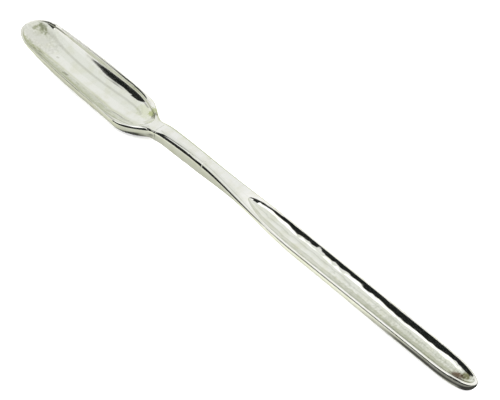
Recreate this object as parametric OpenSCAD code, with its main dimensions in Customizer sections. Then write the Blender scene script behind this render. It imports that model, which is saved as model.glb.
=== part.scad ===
// Double-ended marrow scoop in polished silver: a wide bowl for large bones, an arched
// bar stem and a long narrow scoop for small bones, hard-soldered end to end.
// It lies on a table along X, hollows up, with the wide bowl at -X and the narrow tip at +X.
// One set of curves along the length gives every section, so pieces that meet share their faces.

/* [Wide bowl] */
// Length of the bowl from its tip to the back wall of its hollow
bowl_length = 70; // [60:0.5:80]
// Width over the rims where the bowl is widest
bowl_width = 17.8; // [15:0.2:21]
// Width over the rims just behind the round nose
bowl_tip_width = 13.8; // [11:0.2:14.8]
// Length of the round nose in plan
bowl_nose = 10; // [7:0.5:14]
// Height of the rim at the tip, above the table
bowl_tip_height = 9.2; // [7.5:0.1:11]
// Height that the rim falls towards at the back wall
bowl_heel_height = 6.1; // [5.4:0.1:7]
// Width of the flat rim
bowl_rim = 0.9; // [0.7:0.05:1.3]
// Thickness of the metal at the bottom of the bowl
bowl_wall = 2.2; // [1.2:0.05:2.6]

/* [Stem] */
// Length from the bowl's back wall to the head of the narrow channel
stem_length = 50.5; // [44:0.5:62]
// Width at the narrowest place
stem_width = 5.5; // [4.6:0.1:6.4]
// Thickness from the top edges to the underside
stem_depth = 5.8; // [5.2:0.1:6.2]
// Height of the arched top edges above the table
stem_height = 9.9; // [8.5:0.1:12]
// Height of the rounding along the near top edge, at -Y
stem_edge = 2.2; // [1.2:0.1:2.3]
// Height of the rounding along the far top edge, at +Y
stem_back_edge = 0.6; // [0.4:0.1:1.2]
// Rise of the top face in the middle of its width
stem_crown = 0.4; // [0.2:0.05:0.8]

/* [Narrow scoop] */
// Length from the head of the channel to the tip
scoop_length = 105; // [88:0.5:120]
// Width over the rims where the scoop is widest
scoop_width = 9.8; // [8.8:0.1:11]
// Width over the rims where the round nose begins
scoop_tip_width = 9.3; // [8.2:0.1:9.8]
// Length of the round nose in plan
scoop_nose = 16; // [11:0.5:22]
// Length of the blunt nose from the side
scoop_blunt = 7; // [5:0.5:12]
// Depth from the rim to the underside
scoop_depth = 5.1; // [4.9:0.05:5.4]
// Height of the rim at the tip, above the table
scoop_tip_height = 4.8; // [4.5:0.05:5]
// Depth of the channel
channel_depth = 2.6; // [2.1:0.05:3]
// Width of the flat rim along the sides
scoop_rim = 1.15; // [0.8:0.05:1.5]
// Width of the rim round the tip
scoop_tip_rim = 1.4; // [1:0.05:2]

/* [Joints] */
// Thickness of the hard solder in both joints
solder = 0.12; // [0.08:0.02:0.3]
// Distance of the butt joint behind the bowl's back wall
heel_block = 5; // [4:0.5:8]
// Length of the slanting scarf between the stem and the narrow scoop
scarf_length = 13; // [8:0.5:15]
// Metal worn off the belly and the scoop's underside where they rest
wear = 0.1; // [0.05:0.01:0.2]

/* [Hidden] */

// Places along the length, from the bowl's tip
heel_x = bowl_length;
butt_x = heel_x + heel_block;
head_x = heel_x + stem_length;
total = head_x + scoop_length;
crest_x = heel_x + 0.44 * stem_length;
scarf_x = heel_x + 0.7 * stem_length;

// Runs over which one form passes into the next
shoulder_in = 11;
shoulder_out = 3;
rise_in = 8;
rise_out = 9;
belly_front = 42;
belly_back = 7;
belly_rise = 9;
widest_at = 46;
heel_hollow = 19;
head_hollow = 12;
crown_in = 12;
fall_run = 57;
flare_run = 46;
depth_run = 20;
swell_in = 30;
swell_run = 50;
flare_in = 8;
deepen_in = 55;
deepen_run = 20;
head_run = 20;
head_rise = 6;
round_in = 24;
round_run = 33;
lean_run = 0.9 * (head_x - scarf_x);

// Depths, heights and radii that the forms pass through
heel_depth = 4.6;
root_depth = 4;
root_height = 7;
arch_drop = 1.1;
stem_taper = 0.022;
bowl_edge = 0.3;
scoop_edge = 0.45;
tip_edge = 0.4;
tip_edge_run = 30;
head_shallow = 0.5;
middle_shallow = 0.92;

// Section shapes: 2 is an ellipse and more is squarer; a hollow flares more as its power rises
bowl_round = 2.1;
stem_square = 5.5;
scoop_round = 2.2;
bowl_flare = 1.45;
channel_flare = 2;
edge_round = 2.2;

// Powers of the rounded ends in plan and from the side
bowl_nose_power = 2.4;
scoop_nose_power = 2.25;
heel_power = 1.8;
ellipse = 2;

// Counts of steps along the pieces and round their sections
bowl_steps = 44;
heel_steps = 3;
stem_steps = 20;
root_steps = 10;
scoop_steps = 50;
edge_steps = 3;
under_steps = 24;
hollow_steps = 20;
crown_steps = 6;

silver = [0.83, 0.84, 0.81];
solder_tint = [0.86, 0.84, 0.72];

// Curves that the forms are built from
function mix(a, b, t) = a + (b - a) * t;
function smooth(u) = u <= 0 ? 0 : u >= 1 ? 1 : u * u * (3 - 2 * u);
function round_end(s, run, p) = s <= 0 ? 0 : s >= run ? 1 : pow(1 - pow(1 - s / run, p), 1 / p);
function signed_pow(v, p) = sign(v) * pow(abs(v), p);
function crowded_ends(n) = [for (i = [1:n]) (1 - cos(180 * i / n)) / 2];

// Half width of the outside, from the bowl's side through the stem to the scoop's nose
function bowl_side(x) =
    mix(bowl_tip_width, bowl_width, 1 - pow(1 - min(x / widest_at, 1), 2)) / 2;
function scoop_side(x) =
    mix(scoop_width, scoop_tip_width, max(0, (x - head_x) / (scoop_length - scoop_nose))) / 2;
function stem_side(x) =
    mix(stem_width / 2 + stem_taper * max(0, crest_x - x), scoop_side(x),
        smooth((x - crest_x - flare_in) / flare_run));
function half_width(x) =
    mix(bowl_side(x) * round_end(x, bowl_nose, bowl_nose_power),
        stem_side(x) * round_end(total - x, scoop_nose, scoop_nose_power),
        smooth((x - heel_x + shoulder_in) / (shoulder_in + shoulder_out)));

// Height of the rims and of the stem's top edges
function bowl_top(x) = mix(bowl_tip_height, bowl_heel_height, pow(max(0, x) / bowl_length, 1.7));
function scoop_top(x) = mix(root_height, scoop_tip_height, (x - head_x) / scoop_length);
function stem_top(x) =
    mix(stem_height, scoop_top(x), smooth((x - crest_x + 2) / fall_run))
    - arch_drop * pow(max(0, crest_x - x) / (crest_x - heel_x), 2);
function top(x) =
    mix(bowl_top(x), stem_top(x), smooth((x - heel_x + rise_in) / (rise_in + rise_out)));

// Height of the underside along the middle; what would pass through the table is worn flat
function bar_depth(x) =
    x < crest_x ? mix(heel_depth, stem_depth, smooth((x - heel_x) / depth_run))
    : x < head_x ? mix(stem_depth, root_depth, smooth((x - crest_x) / (head_x - crest_x)))
    : mix(root_depth, scoop_depth + wear, smooth((x - head_x - swell_in) / swell_run))
        * round_end(total - x, scoop_blunt, scoop_nose_power);
function bottom(x) =
    x < belly_front
    ? bowl_tip_height - (bowl_tip_height + wear) * round_end(x, belly_front, ellipse)
    : mix(-wear, top(x) - bar_depth(x), smooth((x - heel_x + belly_back) / belly_rise));

// How square the section is; near is 1 on the side at -Y and 0 on the other
// edge is the height of the rounding over a top edge and edge_run its width across the top face
function squareness(x) =
    mix(mix(bowl_round, stem_square, smooth((x - heel_x + 6) / 16)), scoop_round,
        smooth((x - crest_x - 4) / (head_x - crest_x - 4)));
function bar_share(x) =
    smooth((x - heel_x + shoulder_in) / 20) * (1 - smooth((x - crest_x) / (head_x - crest_x + 20)));
function edge(x, near) =
    min(mix(mix(bowl_edge, mix(stem_back_edge, stem_edge, near),
                smooth((x - heel_x + round_in) / round_run)),
            scoop_edge + tip_edge * smooth((x - total + tip_edge_run) / tip_edge_run),
            smooth((x - crest_x) / (head_x - crest_x + 20))),
        0.85 * half_width(x), 0.4 * (top(x) - bottom(x)));
function edge_run(x, near) =
    mix(edge(x, near), mix(0.6, 1, near) * half_width(x), bar_share(x));
function crown(x) =
    stem_crown * smooth((x - heel_x + crown_in) / crown_in)
    * (1 - smooth((x - crest_x) / (head_x - crest_x)));
function face_height(x, y) =
    let (near = y < 0 ? 1 : 0, e = edge(x, near), run = max(edge_run(x, near), 0.0001),
         u = min(1, max(0, (abs(y) - half_width(x) + run) / run)))
    top(x) - e + (e + crown(x)) * pow(1 - pow(u, edge_round), 1 / edge_round);

// One point [y, z] of the section at x: -Y edge, underside, +Y edge, then back over the top face
outer_count = under_steps + 2 * edge_steps + 1;
ring_count = outer_count + crown_steps - 1;
function shoulder(x, near) = half_width(x) - 0.6 * edge_run(x, near);
function edge_point(x, t, near) =
    let (y = (near == 1 ? -1 : 1) * mix(half_width(x), shoulder(x, near), 1 - sin(90 * t)))
    [y, face_height(x, y)];
function under_point(x, a) =
    let (p = 2 / squareness(x), e = edge(x, a < 90 ? 1 : 0))
    [-half_width(x) * signed_pow(cos(a), p), max(0, mix(top(x) - e, bottom(x), pow(sin(a), p)))];
function face_point(x, t) =
    let (y = mix(shoulder(x, 0), -shoulder(x, 1), t)) [y, face_height(x, y)];
function section_point(x, j) =
    let (far_edge = edge_steps + under_steps)
    j < edge_steps ? edge_point(x, j / edge_steps, 1)
    : j <= far_edge ? under_point(x, 180 * (j - edge_steps) / under_steps)
    : j < outer_count ? edge_point(x, (outer_count - 1 - j) / edge_steps, 0)
    : face_point(x, (j - outer_count + 1) / crown_steps);

// Sections near the scarf lean back, lower towards +X, and fully so at the joint
scarf_middle = (top(scarf_x) + bottom(scarf_x)) / 2;
scarf_slope = scarf_length / (top(scarf_x) - bottom(scarf_x));
function lean(x) = scarf_slope * (1 - smooth(max(0, x - scarf_x - solder, scarf_x - x) / lean_run));
function leaning_x(x0, slope, j, x, tries) =
    tries == 0 ? x
    : leaning_x(x0, slope, j, x0 - slope * (section_point(x, j)[1] - scarf_middle), tries - 1);
function place(x0, j) =
    let (slope = lean(x0), x = slope > 0 ? leaning_x(x0, slope, j, x0, 16) : x0, p = section_point(x, j))
    [x - total / 2, p[0], p[1]];
function outside(x0) = [for (j = [0:outer_count - 1]) place(x0, j)];
function ring(x0) = [for (j = [0:ring_count - 1]) place(x0, j)];

// Half width and depth of the two hollows, and the row of points across a hollow from +Y to -Y
function bowl_hollow(x) = [
    (bowl_side(x) - bowl_rim) * round_end(x - bowl_rim, bowl_nose, bowl_nose_power)
        * round_end(heel_x - x, heel_hollow, heel_power),
    (top(x) - bottom(x) - bowl_wall) * round_end(x - bowl_rim, bowl_nose, ellipse)
        * round_end(heel_x - x, heel_hollow, ellipse)];
function channel_share(s) =
    mix(mix(head_shallow, middle_shallow, smooth(s / head_run)), 1, smooth((s - deepen_in) / deepen_run));
function channel_hollow(x) = [
    (stem_side(x) - scoop_rim) * round_end(x - head_x, head_hollow, ellipse)
        * round_end(total - scoop_tip_rim - x, scoop_nose, scoop_nose_power),
    channel_depth * channel_share(x - head_x) * round_end(x - head_x, head_rise, ellipse)
        * round_end(total - scoop_tip_rim - x, scoop_nose, ellipse)];
function hollow_row(x, size, flare) =
    [for (j = [0:hollow_steps])
        let (a = 180 * j / hollow_steps,
             rim = mix(face_height(x, size[0]), face_height(x, -size[0]), j / hollow_steps))
        [x - total / 2, size[0] * cos(a), rim - size[1] * pow(sin(a), flare)]];

// Triangles between four corners or round a fan; flip turns them over
function turned(f, flip) = flip ? [f[2], f[1], f[0]] : f;
function quad(a, b, c, d, flip) =
    concat(a == b ? [] : [turned([a, b, c], flip)], c == d ? [] : [turned([a, c, d], flip)]);
function fan(apex, chain, flip) =
    [for (k = [0:len(chain) - 2]) turned([apex, chain[k], chain[k + 1]], flip)];
function middle(s) = [for (k = [0:2]) [for (p = s) p[k]] * [for (p = s) 1 / len(s)]];

// Triangles between whole rings whose first point has the index start, from one ring to the next
function ring_faces(start, rings, flip) =
    [for (i = [0:rings - 2], j = [0:ring_count - 1])
        let (a = start + i * ring_count, k = (j + 1) % ring_count)
        each quad(a + j, a + k, a + ring_count + k, a + ring_count + j, flip)];
function end_faces(start, apex, flip) =
    fan(apex, [for (j = [0:ring_count]) start + j % ring_count], flip);

// A bar: whole rings joined in a row along +X, with flat ends
module bar(stations) {
    rings = [for (x = stations) ring(x)];
    count = len(rings);
    polyhedron(
        concat([for (r = rings) each r], [middle(rings[0]), middle(rings[count - 1])]),
        concat(
            ring_faces(0, count, true),
            end_faces(0, count * ring_count, false),
            end_faces((count - 1) * ring_count, count * ring_count + 1, true)));
}

// A trough: a shell from its tip to the root of its hollow, then solid to a flat joint face.
// The stations of the outside and of the hollow pair up; flip is set where they run towards +X.
module trough(tip, hollow_tip, outer_x, hollow_rows, solid_x, flip) {
    last = len(outer_x);
    row = outer_count + hollow_steps + 1;
    rings = [for (x = solid_x) ring(x)];
    base = 2 + (last - 1) * row;
    peak = base + outer_count - 1 + crown_steps / 2;
    joint = base + (len(rings) - 1) * ring_count;
    points = concat(
        [tip, hollow_tip],
        [for (i = [0:last - 2]) each concat(outside(outer_x[i]), hollow_rows[i])],
        [for (r = rings) each r],
        [middle(rings[len(rings) - 1])]);
    function out(i, j) = i == 0 ? 0 : 2 + (i - 1) * row + j;
    function hol(i, j) = i == 0 ? 1 : i == last ? peak : 2 + (i - 1) * row + outer_count + j;
    far = outer_count - 1;
    faces = concat(
        [for (i = [0:last - 1], j = [0:far - 1])
            each quad(out(i, j), out(i, j + 1), out(i + 1, j + 1), out(i + 1, j), flip)],
        [for (i = [0:last - 1], j = [0:hollow_steps - 1])
            each quad(hol(i, j), hol(i, j + 1), hol(i + 1, j + 1), hol(i + 1, j), flip)],
        [for (i = [0:last - 2])
            each quad(out(i, far), hol(i, 0), hol(i + 1, 0), out(i + 1, far), flip)],
        [for (i = [0:last - 2])
            each quad(hol(i, hollow_steps), out(i, 0), out(i + 1, 0), hol(i + 1, hollow_steps), flip)],
        fan(hol(last - 1, 0), concat([for (k = [peak:-1:base + far]) k], [out(last - 1, far)]), flip),
        fan(hol(last - 1, hollow_steps),
            concat([out(last - 1, 0), base], [for (k = [base + ring_count - 1:-1:peak]) k]), flip),
        ring_faces(base, len(rings), flip),
        end_faces(joint, joint + ring_count, flip));
    polyhedron(points, faces);
}

// Wide bowl: a raised shell with a flat rim, solid behind its back wall
module wide_bowl() {
    turn = crowded_ends(bowl_steps);
    color(silver)
        trough(
            [-total / 2, 0, top(0)],
            [bowl_rim - total / 2, 0, top(bowl_rim)],
            [for (t = turn) heel_x * t],
            [for (t = turn)
                let (x = mix(bowl_rim, heel_x, t)) hollow_row(x, bowl_hollow(x), bowl_flare)],
            [for (i = [0:heel_steps]) mix(heel_x, butt_x, i / heel_steps)],
            true);
}

// Hard solder that fills the butt joint behind the bowl
module bowl_solder() {
    color(solder_tint)
        bar([butt_x, butt_x + solder]);
}

// Stem: a forged bar with a crowned top face, square by the bowl and cut to a slanting scarf
module stem() {
    color(silver)
        bar([for (i = [0:stem_steps]) mix(butt_x + solder, scarf_x, i / stem_steps)]);
}

// Hard solder that fills the scarf between the stem and the narrow scoop
module scoop_solder() {
    color(solder_tint)
        bar([scarf_x, scarf_x + solder]);
}

// Narrow scoop: a solid scarfed root that opens into a long channel with a blunt round nose
module narrow_scoop() {
    turn = crowded_ends(scoop_steps);
    rim_end = total - scoop_tip_rim;
    color(silver)
        trough(
            [total / 2, 0, top(total)],
            [rim_end - total / 2, 0, top(rim_end)],
            [for (t = turn) mix(total, head_x, t)],
            [for (t = turn)
                let (x = mix(rim_end, head_x, t)) hollow_row(x, channel_hollow(x), channel_flare)],
            [for (i = [0:root_steps]) mix(head_x, scarf_x + solder, i / root_steps)],
            false);
}

wide_bowl();
bowl_solder();
stem();
scoop_solder();
narrow_scoop();
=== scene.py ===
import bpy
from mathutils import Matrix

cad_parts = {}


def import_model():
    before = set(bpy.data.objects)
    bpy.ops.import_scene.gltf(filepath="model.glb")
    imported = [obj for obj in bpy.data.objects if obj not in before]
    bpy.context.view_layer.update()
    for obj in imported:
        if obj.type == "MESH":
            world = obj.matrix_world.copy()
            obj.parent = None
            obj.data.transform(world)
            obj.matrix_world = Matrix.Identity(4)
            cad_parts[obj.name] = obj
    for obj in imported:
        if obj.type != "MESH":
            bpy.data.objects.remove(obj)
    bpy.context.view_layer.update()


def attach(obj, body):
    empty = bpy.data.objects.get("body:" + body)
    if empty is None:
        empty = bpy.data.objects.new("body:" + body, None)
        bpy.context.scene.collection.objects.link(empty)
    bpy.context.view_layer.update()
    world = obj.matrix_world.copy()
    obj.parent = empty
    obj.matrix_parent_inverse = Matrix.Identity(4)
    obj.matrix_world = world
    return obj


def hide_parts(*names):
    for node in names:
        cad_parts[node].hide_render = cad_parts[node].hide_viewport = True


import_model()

import math
from types import SimpleNamespace

import bpy
from mathutils import Matrix, Vector

# Camera: a long lens that looks down on the scoop from over its narrow end. Its place is fitted to
# the photograph, in degrees round and above the table and in metres from the aim.
camera_turn = math.radians(48.04)
camera_rise = math.radians(45.0)
camera_reach = 0.7
camera_aim = Vector((0.00638, 0.001727, 0.005))
towards_camera = Vector(
    (
        math.sin(camera_turn) * math.cos(camera_rise),
        -math.cos(camera_turn) * math.cos(camera_rise),
        math.sin(camera_rise),
    )
)
across = Vector((math.cos(camera_turn), math.sin(camera_turn), 0.0))
lens = bpy.data.cameras.new("lens")
lens.lens = 150.08
lens.sensor_width = 36.0
camera = bpy.data.objects.new("camera", lens)
camera_place = Matrix.Translation(camera_aim + camera_reach * towards_camera)
facing = Matrix((across, towards_camera.cross(across), towards_camera)).transposed()
camera.matrix_world = camera_place @ facing.to_4x4()
bpy.context.scene.collection.objects.link(camera)
bpy.context.scene.camera = camera


# Studio: white paper under a pale tent, with a bright slit panel overhead, dark cards at the front,
# a dark doorway at the left and the dark opening for the camera. Polished silver shows only what
# stands round it, and the panel and cards are seen in the silver alone.
class Wire:
    """A socket in a node tree, so that sums between sockets are written as plain expressions."""

    def __init__(self, tree, socket):
        self.tree = tree
        self.socket = socket

    def node(self, kind, settings=None, sockets=None, output=0):
        made = self.tree.nodes.new(kind)
        for name, value in (settings or {}).items():
            setattr(made, name, value)
        for name, value in (sockets or {}).items():
            if isinstance(value, Wire):
                self.tree.links.new(value.socket, made.inputs[name])
            else:
                made.inputs[name].default_value = value
        return Wire(self.tree, made.outputs[output])

    def math(self, operation, *values):
        return self.node("ShaderNodeMath", {"operation": operation}, dict(enumerate(values)))

    def axis(self, number):
        return self.node("ShaderNodeSeparateXYZ", None, {0: self}, output=number)

    def __add__(self, other):
        return self.math("ADD", self, other)

    def __radd__(self, other):
        return self.math("ADD", other, self)

    def __sub__(self, other):
        return self.math("SUBTRACT", self, other)

    def __rsub__(self, other):
        return self.math("SUBTRACT", other, self)

    def __mul__(self, other):
        return self.math("MULTIPLY", self, other)

    def __rmul__(self, other):
        return self.math("MULTIPLY", other, self)

    def __truediv__(self, other):
        return self.math("DIVIDE", self, other)

    def __rtruediv__(self, other):
        return self.math("DIVIDE", other, self)

    def __pow__(self, other):
        return self.math("POWER", self, other)


def mix(a, b, share):
    return a + (b - a) * share


def least(a, b):
    return a.math("MINIMUM", a, b)


def most(a, b):
    return a.math("MAXIMUM", a, b)


def smooth(u):
    """An S curve from 0 to 1 as u goes from 0 to 1."""
    return u.node("ShaderNodeMapRange", {"interpolation_type": "SMOOTHSTEP"}, {"Value": u})


def after(value, start, run):
    """0 up to the start, and 1 from a run beyond it."""
    return smooth((value - start) / run)


def before(value, end, run):
    """0 from the end on, and 1 up to a run before it."""
    return smooth((end - value) / run)


def between(value, low, high, soft):
    """1 between low and high, falling to 0 over the soft run outside them."""
    return after(value, low - soft, soft) * before(value, high + soft, soft)


def blend(start, end, share):
    """A colour between two others."""
    return share.node(
        "ShaderNodeMix", {"data_type": "RGBA"}, {"Factor": share, 6: start, 7: end}, output=2
    )


tent_pale = (0.97, 0.97, 0.95, 1)
paper_olive = (0.70, 0.72, 0.57, 1)
dark_opening = (0.02, 0.022, 0.02, 1)
room_light = (3.0, 3.0, 3.0, 1)

tent = bpy.data.worlds.new("tent")
bpy.context.scene.world = tent
tent.use_nodes = True
tent.node_tree.nodes.clear()
ray = Wire(tent.node_tree, None).node("ShaderNodeTexCoord", output=0)
mirrored = ray.node("ShaderNodeLightPath", output=3)
# Directions are in degrees: the rise above the table, and the turn from the front towards +X.
degrees = 180 / math.pi
rise = ray.math("ARCSINE", ray.axis(2)) * degrees
turn = ray.math("ARCTAN2", ray.axis(0), -1 * ray.axis(1)) * degrees

door_sill = 15.0
door_right, right_bow, right_blur = -33.0, 0.022, 0.4
door_left, left_lean, left_blur = -52.0, 0.16, 0.8
door_top, top_corner, top_slope, top_blur = 42.2, -47.0, 0.6, 1.5
above_sill = most(rise - door_sill, 0)
right_jamb = door_right - right_bow * above_sill * above_sill
left_jamb = door_left - left_lean * above_sill
lintel = door_top + top_slope * least(turn - top_corner, 0)
doorway = before(turn, right_jamb, right_blur) * after(turn, left_jamb, left_blur)
doorway = doorway * before(rise, lintel, top_blur)
door_leaf = 0.5 * between(turn, -62, -52.6, 1) * between(rise, 12, 20, 2)

opening_edge = math.cos(math.radians(19.0))
near_lens = ray.node(
    "ShaderNodeVectorMath",
    {"operation": "DOT_PRODUCT"},
    {0: ray, 1: tuple(towards_camera)},
    output=1,
)
opening = after(near_lens, opening_edge, 0.006)
camera_stand = 0.95 * between(turn, 28, 72, 6) * before(rise, 36, 4)
backdrop = before(rise, 36, 14) * after(ray.axis(1), 0.45, 0.3)
dark = most(most(opening, most(doorway, door_leaf)), camera_stand)
tent_colour = blend(blend(tent_pale, paper_olive, backdrop), dark_opening, dark)
tent_light = ray.node(
    "ShaderNodeBackground", None, {"Color": blend(room_light, tent_colour, mirrored)}
)
world_out = tent.node_tree.nodes.new("ShaderNodeOutputWorld")
tent.node_tree.links.new(tent_light.socket, world_out.inputs["Surface"])


def lying(left, right, front, back, height):
    """The corners of a level sheet, in metres."""
    return [
        (left, front, height),
        (right, front, height),
        (right, back, height),
        (left, back, height),
    ]


def standing(left, right, depth, low, high):
    """The corners of a sheet that stands along the length, in metres."""
    return [(left, depth, low), (right, depth, low), (right, depth, high), (left, depth, high)]


def stage_sheet(name, corners, material):
    """A flat sheet of the studio."""
    mesh = bpy.data.meshes.new(name)
    mesh.from_pydata(corners, [], [(0, 1, 2, 3)])
    mesh.materials.append(material)
    sheet = bpy.data.objects.new(name, mesh)
    bpy.context.scene.collection.objects.link(sheet)
    return sheet


def only_mirrored(sheet):
    """Leaves a sheet to be seen in reflections alone."""
    sheet.visible_camera = False
    sheet.visible_diffuse = False
    sheet.visible_shadow = False


def glowing(name, paint):
    """A material that only gives off light, in the colour that paint makes from its first wire."""
    made = bpy.data.materials.new(name)
    made.use_nodes = True
    made.node_tree.nodes.clear()
    wire = Wire(made.node_tree, None)
    light = wire.node("ShaderNodeEmission", None, {"Color": paint(wire)})
    out = made.node_tree.nodes.new("ShaderNodeOutputMaterial")
    made.node_tree.links.new(light.socket, out.inputs["Surface"])
    return made


# The paper is white to the camera. In the silver it shows the tones and shadows that the photograph
# has there, placed in millimetres from the middle of the scoop.
paper_white = (0.97, 0.97, 0.97, 1)
paper = bpy.data.materials.new("paper")
paper.use_nodes = True
paper_finish = paper.node_tree.nodes["Principled BSDF"]
paper_spot = Wire(paper.node_tree, None).node("ShaderNodeTexCoord", output=3)
paper_mirrored = paper_spot.node("ShaderNodeLightPath", output=3)
paper_along = 1000 * paper_spot.axis(0)
paper_across = 1000 * paper_spot.axis(1)
sideways = paper_across.math("ABSOLUTE", paper_across)
from_rim = 6 - paper_across

# Painted light and shade on the paper, seen only in the silver: lighter by the scoop's middle and
# by the bowl, and darker beside the tip.
painted_light_by_scoop = between(paper_along, 5, 60, 10)
painted_light_by_bowl = between(paper_along, -130, -58, 10)
under_tip = before(sideways, 5.4, 0.8) * (1 - after(paper_along, 105, 4))
painted_shade_by_tip = after(paper_along, 68, 22) * (1 - 0.7 * under_tip)
paper_tone = 0.25 + 0.09 * painted_light_by_scoop + 0.1 * painted_light_by_bowl - 0.18 * painted_shade_by_tip

heel_shadow = between(paper_along, -53, -46, 4) * before(sideways, 9.5, 2)
tip_shadow = after(paper_along, 72, 12) * between(sideways, 5.6, 7.8, 1.2)
nose_shadow = after(paper_along, 107, 3) * before(sideways, 9, 3)
door_near_edge = after(from_rim, 22, 6)
door_right_edge = before(paper_along, -64 - 0.65 * from_rim, 4)
door_left_edge = after(paper_along, -60 - 1.2 * from_rim, 4)
door_shadow = door_near_edge * door_right_edge * door_left_edge
card_shadow = after(from_rim, 100, 20) * between(paper_along, -215, 40, 10)
# Painted shadows by the heel, the tip and the nose, and towards the doorway and the front cards,
# darken the paper's tone.
for shadow, strength in (
    (heel_shadow, 0.9),
    (tip_shadow, 0.8),
    (nose_shadow, 0.85),
    (door_shadow, 0.93),
    (card_shadow, 0.93),
):
    paper_tone = paper_tone * (1 - strength * shadow)
paper_shade = paper_tone.node(
    "ShaderNodeCombineColor", None, {0: paper_tone, 1: 1.02 * paper_tone, 2: 0.84 * paper_tone}
)
paper_colour = blend(paper_white, paper_shade, paper_mirrored)
paper.node_tree.links.new(paper_colour.socket, paper_finish.inputs["Base Color"])
paper_finish.inputs["Roughness"].default_value = 0.9
sweep_reach = 1.5
sweep_drop = -2e-5
stage_sheet(
    "sweep", lying(-sweep_reach, sweep_reach, -sweep_reach, sweep_reach, sweep_drop), paper
)

card_dark = (0.012, 0.014, 0.013, 1)
panel_front = -0.44


def panel_paint(wire):
    """Bright cloth with a lamp behind its front, a grey bowed frame and a dark slit, in metres."""
    cloth, lamp_cloth = (0.90, 0.91, 0.87, 1), (1.45, 1.45, 1.43, 1)
    lamp_left, lamp_back = -0.24, -0.22
    frame_grey = (0.72, 0.73, 0.68, 1)
    frame_middle, frame_back, frame_bow = -0.32, -0.1, 2.1
    frame_half, frame_blur = 0.012, 0.045
    slit_end, slit_slant = -0.463, 0.5
    slit_edge, slit_corner, slit_taper = -0.306, -0.51, 0.9

    spot = wire.node("ShaderNodeTexCoord", output=3)
    x, y = spot.axis(0), spot.axis(1)
    lamp = after(x, lamp_left, 0.03) * before(y, lamp_back, 0.05)
    colour = blend(cloth, lamp_cloth, lamp)
    bowed = y - frame_back - frame_bow * (x - frame_middle) * (x - frame_middle)
    colour = blend(colour, frame_grey, between(bowed, -frame_half, frame_half, frame_blur))
    slit_right = before(x, slit_end + slit_slant * (y - panel_front), 0.028)
    slit_back = before(y, slit_edge + slit_taper * least(x - slit_corner, 0), 0.012)
    return blend(colour, card_dark, slit_right * slit_back)


panel_cloth = glowing("panel_cloth", panel_paint)
card_black = glowing("card_black", lambda wire: card_dark)
card_charcoal = glowing("card_charcoal", lambda wire: (0.03, 0.03, 0.028, 1))
card_depth, card_top = -0.4, 0.335
for name, corners, material in (
    ("panel", lying(-0.6, 0.5, panel_front, 0.115, 0.4), panel_cloth),
    ("front_card", standing(-0.232, 0.04, card_depth, 0.0, card_top), card_black),
    ("side_card", standing(0.04, 0.33, card_depth, 0.0, card_top), card_charcoal),
    ("bowl_card", standing(-0.116, -0.093, -0.05, 0.03, 0.13), card_black),
    ("stem_card", standing(-0.126, -0.084, -0.15, 0.0, 0.13), card_black),
    ("lamp_arm", lying(-0.01, 0.1, -0.49, -0.27, 0.398), card_black),
):
    only_mirrored(stage_sheet(name, corners, material))
bpy.context.scene.view_settings.view_transform = "Standard"


# Wide bowl: the large scoop, raised from sterling sheet, with a flat filed rim, a deep rounded heel
# and a short solid block behind it. The block is butted against the stem and hard-soldered.
# Lengths are in millimetres and places are measured from the bowl's tip.
sizes = dict(
    bowl_length=70.0,
    bowl_width=17.8,
    bowl_tip_width=13.8,
    bowl_nose=10.0,
    bowl_tip_height=9.2,
    bowl_heel_height=6.1,
    bowl_rim=0.9,
    bowl_wall=2.2,
    stem_length=50.5,
    stem_width=5.5,
    stem_depth=5.8,
    stem_height=9.9,
    stem_edge=2.2,
    stem_back_edge=0.6,
    stem_crown=0.4,
    scoop_length=105.0,
    scoop_width=9.8,
    scoop_tip_width=9.3,
    scoop_nose=16.0,
    scoop_blunt=7.0,
    scoop_depth=5.1,
    scoop_tip_height=4.8,
    channel_depth=2.6,
    scoop_rim=1.0,
    scoop_tip_rim=1.15,
    scoop_edge=0.65,
    solder=0.12,
    heel_block=5.0,
    scarf_length=13.0,
    wear=0.1,
)
total_length = sizes["bowl_length"] + sizes["stem_length"] + sizes["scoop_length"]
millimetre = 0.001


def held(u):
    """u kept between 0 and 1."""
    return u.node("ShaderNodeClamp", None, {"Value": u})


def round_end(away, run, power):
    """Rises from 0 at an end to 1 at a run's length from it, as a rounded end does."""
    return (1 - (1 - held(away / run)) ** power) ** (1 / power)


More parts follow.
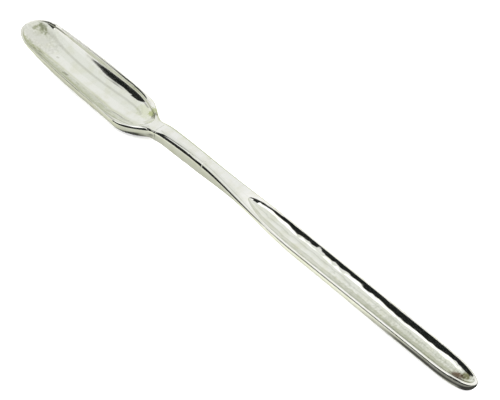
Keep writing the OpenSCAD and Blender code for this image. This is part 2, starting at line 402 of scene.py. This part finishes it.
class Form:
    """The scoop's curves along its length, as sockets in one node tree.
    A name in _in says how far from a joint a change starts, and one in _run how long it takes."""

    crest_share, scarf_share = 0.44, 0.7
    ellipse, bowl_nose_power, scoop_nose_power, heel_power = 2, 2.4, 2.25, 1.8

    def __init__(self, s):
        self.s = s
        self.heel = s.bowl_length
        self.head = s.bowl_length + s.stem_length
        self.total = self.head + s.scoop_length
        self.crest = s.bowl_length + self.crest_share * s.stem_length
        self.scarf = s.bowl_length + self.scarf_share * s.stem_length
        self.to_head = self.head - self.crest

    widest_at = 46
    stem_taper = 0.022
    flare_in, flare_run = 8, 46
    shoulder_in, shoulder_run = 11, 14

    def bowl_side(self, x):
        s = self.s
        swell = 1 - (1 - held(x / self.widest_at)) ** self.ellipse
        return mix(s.bowl_tip_width, s.bowl_width, swell) / 2

    def stem_side(self, x):
        s = self.s
        along = most((x - self.head) / (s.scoop_length - s.scoop_nose), 0)
        scoop_side = mix(s.scoop_width, s.scoop_tip_width, along) / 2
        bar_side = s.stem_width / 2 + self.stem_taper * most(self.crest - x, 0)
        return mix(bar_side, scoop_side, after(x, self.crest + self.flare_in, self.flare_run))

    def half_width(self, x):
        s = self.s
        return mix(
            self.bowl_side(x) * round_end(x, s.bowl_nose, self.bowl_nose_power),
            self.stem_side(x) * round_end(self.total - x, s.scoop_nose, self.scoop_nose_power),
            after(x, self.heel - self.shoulder_in, self.shoulder_run),
        )

    rim_sweep = 1.7
    root_height = 7.0
    arch_drop = 1.1
    drop_in, drop_run = 2, 57
    rise_in, rise_run = 8, 17

    def top(self, x):
        s = self.s
        sweep = most(x / s.bowl_length, 0) ** self.rim_sweep
        bowl_top = mix(s.bowl_tip_height, s.bowl_heel_height, sweep)
        along = (x - self.head) / s.scoop_length
        scoop_top = mix(self.root_height, s.scoop_tip_height, along)
        behind_crest = most(self.crest - x, 0) / (self.crest_share * s.stem_length)
        dropped = after(x, self.crest - self.drop_in, self.drop_run)
        stem_top = mix(s.stem_height, scoop_top, dropped) - self.arch_drop * behind_crest**2
        return mix(bowl_top, stem_top, after(x, self.heel - self.rise_in, self.rise_run))

    heel_depth, root_depth = 4.6, 4.0
    depth_run = 20
    swell_in, swell_run = 30, 50
    belly_front = 42
    belly_in, belly_run = 7, 9

    def bottom(self, x, top):
        s = self.s
        depth = mix(self.heel_depth, s.stem_depth, after(x, self.heel, self.depth_run))
        depth = mix(depth, self.root_depth, after(x, self.crest, self.to_head))
        swelled = after(x, self.head + self.swell_in, self.swell_run)
        depth = mix(depth, s.scoop_depth + s.wear, swelled)
        depth = depth * round_end(self.total - x, s.scoop_blunt, self.scoop_nose_power)
        belly_drop = (s.bowl_tip_height + s.wear) * round_end(x, self.belly_front, self.ellipse)
        belly = s.bowl_tip_height - belly_drop
        return mix(belly, top - depth, after(x, self.heel - self.belly_in, self.belly_run))

    bowl_round, stem_square, scoop_round = 2.1, 5.5, 2.2
    square_in, square_run = 6, 16
    unsquare_in = 4

    def squareness(self, x):
        squared = after(x, self.heel - self.square_in, self.square_run)
        rounded = after(x, self.crest + self.unsquare_in, self.to_head - self.unsquare_in)
        return mix(mix(self.bowl_round, self.stem_square, squared), self.scoop_round, rounded)

    rim_fall, rim_fall_in, rim_fall_run = 0.6, 5, 20
    bowl_edge = 0.3
    edge_in, edge_run = 24, 33
    tip_edge, tip_edge_run = 0.4, 30
    thin_in = 10
    edge_of_width, edge_of_height = 0.85, 0.4

    def fall(self, x):
        """How much further than its width the scoop's outer edge falls."""
        return self.rim_fall * after(x, self.head + self.rim_fall_in, self.rim_fall_run)

    def thinned(self, x):
        """0 on the bar, and 1 where the scoop's thin rims have begun."""
        return after(x, self.crest + self.thin_in, self.to_head + self.thin_in)

    def edge(self, x, near, width, height):
        s = self.s
        begun = after(x, self.heel - self.edge_in, self.edge_run)
        bar = mix(self.bowl_edge, mix(s.stem_back_edge, s.stem_edge, near), begun)
        at_tip = after(x, self.total - self.tip_edge_run, self.tip_edge_run)
        edge = mix(bar, s.scoop_edge + self.tip_edge * at_tip, self.thinned(x)) + self.fall(x)
        return least(least(edge, self.edge_of_width * width), self.edge_of_height * height)

    back_bar_run, least_rim_run = 0.6, 0.6
    bar_in, bar_run = 11, 20

    def run(self, x, near, width, edge):
        """How far in from the side the edge's rounding goes."""
        bar = mix(self.back_bar_run, 1, near) * width
        rim = most(edge - self.fall(x), self.least_rim_run * edge)
        begun = after(x, self.heel - self.bar_in, self.bar_run)
        return mix(rim, bar, begun * (1 - self.thinned(x)))

    crown_in = 12

    def crown(self, x):
        fade = 1 - after(x, self.crest, self.to_head)
        return self.s.stem_crown * after(x, self.heel - self.crown_in, self.crown_in) * fade

    heel_hollow = 19
    lip_margin = 0.1

    def bowl_hollow(self, x, top, bottom):
        s = self.s
        front = x - s.bowl_rim
        back = self.heel - x
        width = self.bowl_side(x) - s.bowl_rim - self.lip_margin
        width = width * round_end(front, s.bowl_nose, self.bowl_nose_power)
        width = width * round_end(back, self.heel_hollow, self.heel_power)
        depth = (top - bottom - s.bowl_wall) * round_end(front, s.bowl_nose, self.ellipse)
        return width, depth * round_end(back, self.heel_hollow, self.ellipse)

    head_hollow, head_rise = 12, 6
    head_shallow, head_run = 0.5, 20
    middle_shallow, deepen_in, deepen_run = 0.92, 55, 20

    def channel_hollow(self, x, top, bottom):
        s = self.s
        front = self.total - s.scoop_tip_rim - x
        back = x - self.head
        width = (self.stem_side(x) - s.scoop_rim) * round_end(back, self.head_hollow, self.ellipse)
        width = width * round_end(front, s.scoop_nose, self.scoop_nose_power)
        share = mix(self.head_shallow, self.middle_shallow, after(back, 0, self.head_run))
        share = mix(share, 1, after(back, self.deepen_in, self.deepen_run))
        depth = share * s.channel_depth * round_end(back, self.head_rise, self.ellipse)
        return width, depth * round_end(front, s.scoop_nose, self.ellipse)

    def no_hollow(self, x, top, bottom):
        return 0 * x, 0 * x


under_steps = 36
edge_steps = 12
rim_steps = 14
lip_steps = 8
hollow_steps = 30
half_steps = under_steps + edge_steps + rim_steps + lip_steps + hollow_steps


def lofted(name, stations, material, hollow=Form.no_hollow, flare=1, lip=0, way=-1, ripple=0):
    """A piece lofted along the scoop's curves by a node tree, and made a plain mesh.
    stations is the number of rows and a function that gives, from the share of the way along, the
    places of the outside and of the hollow and masks for the rows that close a face or make a tip.
    flare shapes the hollow's walls, lip rounds its rim, and ripple is the hammer marks' height.
    way is 1 for a run towards -X, or else -1."""
    edge_power, lip_power, lip_steepness = 2.2, 1.25, 1.3
    lip_limit, shoulder_of_run, shoulder_limit = 0.3, 0.6, 0.7
    lean_share = 0.27
    hammer_scale, hammer_detail, hammer_seed = 0.24, 1.5, 3.0
    smallest_run, weld = 1e-4, 3e-7

    rows, places = stations
    tree = bpy.data.node_groups.new(name + "_form", "GeometryNodeTree")
    tree.interface.new_socket("Geometry", in_out="OUTPUT", socket_type="NodeSocketGeometry")
    sockets = {
        key: tree.interface.new_socket(key, in_out="INPUT", socket_type="NodeSocketFloat")
        for key in sizes
    }
    given = tree.nodes.new("NodeGroupInput")
    form = Form(SimpleNamespace(**{key: Wire(tree, given.outputs[key]) for key in sizes}))
    begin = Wire(tree, None)
    grid = begin.node(
        "GeometryNodeMeshGrid",
        None,
        {"Size X": 1.0, "Size Y": 1.0, "Vertices X": rows + 1, "Vertices Y": 2 * half_steps + 1},
    )
    here = begin.node("GeometryNodeInputPosition")
    along = here.axis(0) + 0.5
    round_share = here.axis(1)
    side = way * round_share.math("SIGN", -1 * round_share)
    step = half_steps * (1 - 2 * round_share.math("ABSOLUTE", round_share))

    def part(first, count):
        return held((step - first) / count)

    under = part(0, under_steps)
    edge_share = part(under_steps, edge_steps)
    rim_share = part(under_steps + edge_steps, rim_steps)
    lip_share = part(under_steps + edge_steps + rim_steps, lip_steps)
    hollow_share = part(half_steps - hollow_steps, hollow_steps)

    out_x, in_x, shut, tip = places(form, along)
    quarter = math.pi / 2
    sine = under.math("SINE", (1 - under) * quarter)
    cosine = under.math("SINE", under * quarter)
    from_scarf = out_x.math("ABSOLUTE", out_x - form.scarf)
    leaning = 1 - smooth(from_scarf / (lean_share * form.s.stem_length))
    x = mix(out_x, in_x, rim_share)
    x = x + leaning * form.s.scarf_length * (sine**0.5 - 0.5) * (1 - shut)

    top = form.top(x)
    bottom = form.bottom(x, top)
    width = form.half_width(x)
    square = 2 / form.squareness(x)
    near = 0.5 - 0.5 * side
    edge = form.edge(x, near, width, top - bottom)
    rise_over = edge + form.crown(x)
    run = form.run(x, near, width, edge)

    def face(y):
        """The height of the top face at y, which falls away over the edge."""
        inward = held((y - width + run) / most(run, smallest_run))
        return top - edge + rise_over * (1 - inward**edge_power) ** (1 / edge_power)

    hollow_width, hollow_depth = hollow(form, x, top, bottom)
    lip_round = least(lip + 0 * x, least(lip_limit * hollow_depth, lip_limit * hollow_width))
    lip_drop = lip_steepness * lip_round
    inner = hollow_width + lip_round
    shoulder = most(width - shoulder_of_run * run, mix(width, inner, shoulder_limit))

    under_y = width * cosine**square
    edge_y = mix(width, shoulder, 1 - edge_share.math("COSINE", edge_share * quarter))
    rim_y = mix(shoulder, inner, rim_share)
    lip_y = inner - lip_round * lip_share.math("SINE", lip_share * quarter) ** lip_power
    hollow_y = hollow_width * hollow_share.math("COSINE", hollow_share * quarter)
    y = under_y + (edge_y - width) + (rim_y - shoulder) + (lip_y - inner)
    y = y + (hollow_y - hollow_width)

    under_z = most(mix(top - edge, bottom, sine**square), 0)
    lip_fall = held(lip_share.math("COSINE", lip_share * quarter)) ** lip_power - 1
    hollow_fall = hollow_share.math("SINE", hollow_share * quarter) ** flare
    z = under_z + (face(edge_y) - (top - edge)) + (face(rim_y) - face(shoulder))
    z = z + lip_drop * lip_fall + (lip_drop - hollow_depth) * hollow_fall
    hammered = x.node("ShaderNodeCombineXYZ", None, {0: x, 1: 2 * y * side, 2: hammer_seed})
    waves = x.node(
        "ShaderNodeTexNoise",
        {"noise_dimensions": "3D"},
        {"Vector": hammered, "Scale": hammer_scale, "Detail": hammer_detail},
    )
    z = z + ripple * (waves - 0.5) * held(6 * hollow_share) * held(hollow_depth)

    y = y * side * (1 - shut) * (1 - tip)
    z = mix(z, (top + bottom) / 2, shut)
    place = x.node(
        "ShaderNodeCombineXYZ",
        None,
        {0: (x - form.total / 2) * millimetre, 1: y * millimetre, 2: z * millimetre},
    )
    shape = grid.node(
        "GeometryNodeStoreNamedAttribute",
        {"data_type": "FLOAT", "domain": "FACE"},
        {"Geometry": grid, "Name": "cap", "Value": shut},
    )
    shape = shape.node(
        "GeometryNodeStoreNamedAttribute",
        {"data_type": "FLOAT", "domain": "POINT"},
        {"Geometry": shape, "Name": "hollow", "Value": held(3 * hollow_share)},
    )
    shape = shape.node("GeometryNodeSetPosition", None, {"Geometry": shape, "Position": place})
    shape = shape.node("GeometryNodeMergeByDistance", None, {"Geometry": shape, "Distance": weld})
    cap = shape.node("GeometryNodeInputNamedAttribute", {"data_type": "FLOAT"}, {"Name": "cap"})
    shape = shape.node(
        "GeometryNodeSetShadeSmooth",
        {"domain": "FACE"},
        {"Geometry": shape, "Shade Smooth": 1 - cap},
    )
    shape = shape.node("GeometryNodeRemoveAttribute", None, {"Geometry": shape, "Name": "cap"})
    shape = shape.node("GeometryNodeSetMaterial", None, {"Geometry": shape, "Material": material})
    result = tree.nodes.new("NodeGroupOutput")
    tree.links.new(shape.socket, result.inputs["Geometry"])

    piece = bpy.data.objects.new(name, bpy.data.meshes.new(name + "_seed"))
    bpy.context.scene.collection.objects.link(piece)
    loft = piece.modifiers.new("loft", "NODES")
    loft.node_group = tree
    for key, socket in sockets.items():
        loft[socket.identifier] = sizes[key]
    evaluated = piece.evaluated_get(bpy.context.evaluated_depsgraph_get())
    mesh = bpy.data.meshes.new_from_object(evaluated)
    piece.modifiers.remove(loft)
    piece.data = mesh
    mesh.name = name
    return piece


def eased(share):
    """A share of the way with its stations crowded at both ends."""
    return (1 - share.math("COSINE", share * math.pi)) / 2


def hollow_stations(hollow_rows, solid_rows, ends):
    """Stations along a hollow from its tip, and on through the solid behind it to a closed face.
    ends gives the places of the tip, of the rim inside it and of the hollow's root, and the solid's
    length."""
    rows = hollow_rows + solid_rows + 1

    def places(form, along):
        tip_x, rim_x, root_x, solid = ends(form)
        row = along * rows
        hollow_way = eased(held(row / hollow_rows))
        solid_way = held((row - hollow_rows) / solid_rows) * solid
        out_x = mix(tip_x, root_x, hollow_way) + solid_way
        in_x = mix(rim_x, root_x, hollow_way) + solid_way
        shut = along.math("GREATER_THAN", row, rows - 0.75)
        tip = along.math("LESS_THAN", row, 0.75)
        return out_x, in_x, shut, tip

    return rows, places


def tint_for_stain_and_shade(colour, tint, share):
    """A colour dulled towards a tint of itself."""
    return share.node(
        "ShaderNodeMix",
        {"data_type": "RGBA", "blend_type": "MULTIPLY"},
        {"Factor": share, 6: colour, 7: tint},
        output=2,
    )


bright_silver = (0.95, 0.945, 0.92, 1)
bar_silver = (0.84, 0.845, 0.82, 1)
hollow_silver = (0.82, 0.83, 0.79, 1)


def silver_material(name, outside, near_side_painted_shade, inside, stains_and_painted_shade=()):
    """Polished silver with a thin bloom of tarnish, fine scratches along it and some patches: stain
    marks, painted shade and painted reflections. Its near half is darker, as painted shade.
    A patch is its place and half length along, its place and half width across, its tint, its
    strength, and 1 if it keeps to the hollow or else 0."""
    bloom_tint = (0.93, 0.93, 0.87, 1)
    polish, dulled, scratched = 0.045, 0.03, 0.04
    scratch_strength, scratch_depth = 0.3, 4e-6
    drawn_scale = (60.0, 2600.0, 1500.0)
    shank_start, shank_end, shank_fade = 68, 114, 10
    patch_reach = 1.5

    made = bpy.data.materials.new(name)
    made.use_nodes = True
    finish = made.node_tree.nodes["Principled BSDF"]
    spot = Wire(made.node_tree, None).node("ShaderNodeTexCoord", output=3)
    place = spot.axis(0) / millimetre + total_length / 2
    aside = spot.axis(1) / millimetre
    hollow = spot.node("ShaderNodeAttribute", {"attribute_name": "hollow"}, output=2)
    cloud = spot.node("ShaderNodeTexNoise", None, {"Vector": spot, "Scale": 260.0, "Detail": 3.0})
    speck = spot.node("ShaderNodeTexNoise", None, {"Vector": spot, "Scale": 1100.0, "Detail": 3.0})
    drawn = spot.node("ShaderNodeMapping", None, {"Vector": spot, "Scale": drawn_scale})
    scratch = spot.node("ShaderNodeTexNoise", None, {"Vector": drawn, "Scale": 1.0, "Detail": 2.0})

    shank = between(place, shank_start, shank_end, shank_fade)
    # The near half is painted darker, as shade.
    colour = blend(blend(outside, near_side_painted_shade, before(aside, 0, 1.5)), bar_silver, shank)
    colour = blend(colour, inside, hollow)
    bloom = after(cloud, 0.4, 0.35)
    colour = tint_for_stain_and_shade(colour, bloom_tint, bloom)
    dull = 0.5 * bloom
    ragged = 2 * (cloud - 0.5) + 3 * (speck - 0.5)
    # Stain marks and patches of painted shade and painted reflection alike darken the colour
    # towards their tints.
    for along, run, off, width, tint, strength, kept in stains_and_painted_shade:
        reach = ((place - along) / run) ** 2 + ((aside - off) / width) ** 2
        share = strength * before(reach + ragged, patch_reach, patch_reach)
        share = share * (1 - kept + kept * hollow)
        colour = tint_for_stain_and_shade(colour, tint, share)
        dull = dull + share
    made.node_tree.links.new(colour.socket, finish.inputs["Base Color"])
    finish.inputs["Metallic"].default_value = 1.0
    roughness = polish + dulled * held(dull) + scratched * after(scratch, 0.5, 0.3)
    made.node_tree.links.new(roughness.socket, finish.inputs["Roughness"])
    bump = scratch.node(
        "ShaderNodeBump",
        None,
        {"Strength": scratch_strength, "Distance": scratch_depth, "Height": scratch},
    )
    made.node_tree.links.new(bump.socket, finish.inputs["Normal"])
    return made


bowl_silver = silver_material(
    "bowl_silver",
    outside=bright_silver,
    # The bowl's near side is painted darker, as shade.
    near_side_painted_shade=(0.74, 0.745, 0.70, 1),
    inside=hollow_silver,
    stains_and_painted_shade=[
        (7.0, 9.0, -0.5, 5.5, (0.82, 0.82, 0.79, 1), 0.9, 1),  # painted shade over the front, which is also made duller
        (5.2, 2.6, 2.9, 1.5, (0.52, 0.54, 0.43, 1), 1.0, 1),  # painted dark reflection by the far lip
        (3.4, 1.1, 0.7, 1.3, (0.58, 0.60, 0.49, 1), 0.8, 1),  # small painted dark reflection at the front
        (4.6, 2.2, 1.8, 2.6, (0.84, 0.85, 0.77, 1), 0.8, 1),  # paler painted shade round both reflections
        (30.0, 34.0, -5.4, 1.9, (0.74, 0.76, 0.64, 1), 0.9, 1),  # painted olive reflection along the near wall
        (61.5, 5.0, 4.4, 2.4, (0.86, 0.88, 0.72, 1), 0.8, 1),  # yellow bloom in the far heel
        (64.8, 2.2, 4.9, 1.2, (0.60, 0.65, 0.38, 1), 0.9, 0),  # green spot on the far heel
        (66.8, 1.4, 4.0, 1.2, (0.46, 0.46, 0.42, 1), 0.9, 0),  # grey spot behind it
        (26.2, 1.3, -3.8, 0.8, (0.50, 0.51, 0.44, 1), 0.8, 1),  # spot on the near wall
        (17.6, 0.7, -0.4, 0.5, (0.75, 0.75, 0.72, 1), 0.8, 1),  # speck in the middle
    ],
)
bowl_rows = 150
block_rows = 12
wide_bowl = lofted(
    "wide_bowl_shell",
    hollow_stations(
        bowl_rows, block_rows, lambda f: (0, f.s.bowl_rim, f.heel, f.s.heel_block)
    ),
    bowl_silver,
    hollow=Form.bowl_hollow,
    flare=1.45,
    lip=0.9,
    ripple=0.01,
)
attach(wide_bowl, "root")
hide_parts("wide_bowl")

# Stem: a bar forged square with a crowned back, arched over the table and cut to a slanting scarf.
# It is sterling, planished and stoned smooth, and held at both ends by hard solder.
stem_rows = 120


def bar_stations(first, last, rows):
    """Stations along a solid bar with a closed face at either end."""

    def places(form, along):
        row = along * (rows + 2)
        x = mix(first(form), last(form), held((row - 1) / rows))
        shut = along.math("LESS_THAN", row, 0.75) + along.math("GREATER_THAN", row, rows + 1.25)
        return x, x, shut, 0 * along

    return rows + 2, places


def block_end(form):
    """The face of the bowl's block."""
    return form.heel + form.s.heel_block


stem_silver = silver_material(
    # The stem's near side is painted a little darker, as shade.
    "stem_silver", outside=bar_silver, near_side_painted_shade=(0.82, 0.825, 0.79, 1), inside=bar_silver
)
stem = lofted(
    "stem_bar",
    bar_stations(lambda f: block_end(f) + f.s.solder, lambda f: f.scarf, stem_rows),
    stem_silver,
)
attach(stem, "root")
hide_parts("stem")

# Narrow scoop: forged from bar, with a scarfed solid root, a long channel hammered in on a stake
# and a blunt round tip. Its rims are drawn thin, and the channel keeps faint hammer ripples.
# The root is hard-soldered to the stem's scarf.
scoop_rows = 220
root_rows = 40


def scoop_ends(form):
    rim_x = form.total - form.s.scoop_tip_rim
    return form.total, rim_x, form.head, form.scarf + form.s.solder - form.head


scoop_silver = silver_material(
    "scoop_silver",
    outside=bright_silver,
    near_side_painted_shade=bright_silver,
    inside=hollow_silver,
    stains_and_painted_shade=[
        (217.0, 56.0, -2.5, 4.0, (0.74, 0.75, 0.68, 1), 1.0, 1),  # painted shade over the channel's near half towards the tip
        (218.0, 2.8, -0.8, 1.5, (0.22, 0.14, 0.10, 1), 0.95, 1),  # brown stain in the tip
        (220.6, 1.6, 1.2, 1.6, (0.34, 0.33, 0.20, 1), 0.95, 1),  # olive stain beside it
    ],
)
narrow_scoop = lofted(
    "narrow_scoop_channel",
    hollow_stations(scoop_rows, root_rows, scoop_ends),
    scoop_silver,
    hollow=Form.channel_hollow,
    flare=2.0,
    lip=0.05,
    way=1,
    ripple=0.3,
)
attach(narrow_scoop, "root")
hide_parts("narrow_scoop")

# Hard solder: thin films of silver solder, a little yellower than sterling, run into both joints
# by heat and filed flush, so that only a hairline shows.
film_rows = 2
film_colour = (0.86, 0.855, 0.80, 1)
solder_metal = silver_material(
    # The film's near side is painted a little darker, as shade.
    "solder", outside=film_colour, near_side_painted_shade=(0.82, 0.815, 0.76, 1), inside=film_colour
)
bowl_film = lofted(
    "bowl_solder_film",
    bar_stations(block_end, lambda f: block_end(f) + f.s.solder, film_rows),
    solder_metal,
)
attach(bowl_film, "root")
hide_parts("bowl_solder")
scoop_film = lofted(
    "scoop_solder_film",
    bar_stations(lambda f: f.scarf, lambda f: f.scarf + f.s.solder, film_rows),
    solder_metal,
)
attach(scoop_film, "root")
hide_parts("scoop_solder")
